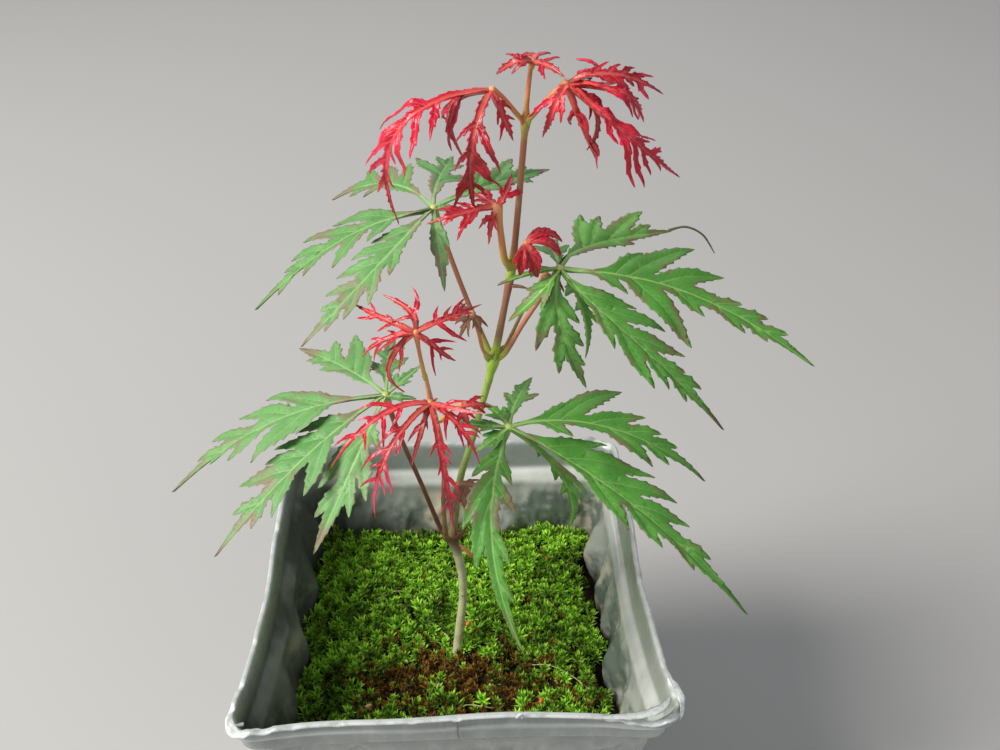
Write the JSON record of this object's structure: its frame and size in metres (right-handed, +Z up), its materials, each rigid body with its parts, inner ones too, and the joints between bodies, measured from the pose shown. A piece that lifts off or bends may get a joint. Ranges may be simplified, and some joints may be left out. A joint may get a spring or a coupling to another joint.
{
  "type": "potted maple tree",
  "caption": "Young cut-leaf maple with green leaves and red new growth on a thin stem, in a square grey plastic nursery pot topped with live moss.",
  "frame": {"origin": "middle of the pot's flat base, on the surface it stands on", "axes": "+Z up along the pot and the stem; X and Y along the pot's sides, -Y towards the side that the lowest leaves lean over"},
  "size_m": [0.125, 0.09, 0.2091],
  "materials": {
    "pot_plastic": "thin milky grey plastic, scuffed and crumpled",
    "potting_soil": "dark moist crumb",
    "moss": "vivid star-tipped moss with brown patches",
    "bark": "smooth young bark, tan below to green and red-brown above",
    "green_leaf": "soft satin leaf with pale veins and pinkish edges",
    "young_leaf": "satin crimson new growth",
    "brown_leaf": "dull red-brown new growth"
  },
  "bodies": {
    "root": {"pot": "pot_plastic", "soil": "potting_soil", "moss": "moss", "main_stem": "bark", "side_shoot": "bark", "axil_shoot": "bark", "leaf_upper_left": "green_leaf", "leaf_upper_right": "green_leaf", "leaf_lower_left": "green_leaf", "leaf_lower_right": "green_leaf", "young_leaf_shoot_low": "young_leaf", "young_leaf_shoot_high": "young_leaf", "young_leaf_top_left": "young_leaf", "young_leaf_top_right": "young_leaf", "young_leaf_tip": "young_leaf", "young_leaf_joint_left": "young_leaf", "young_leaf_joint_right": "young_leaf", "young_leaf_stem_front": "young_leaf", "young_leaf_petiole_side": "brown_leaf", "young_leaf_low_brown": "brown_leaf", "young_leaf_axil": "brown_leaf"}
  },
  "joints": []
}
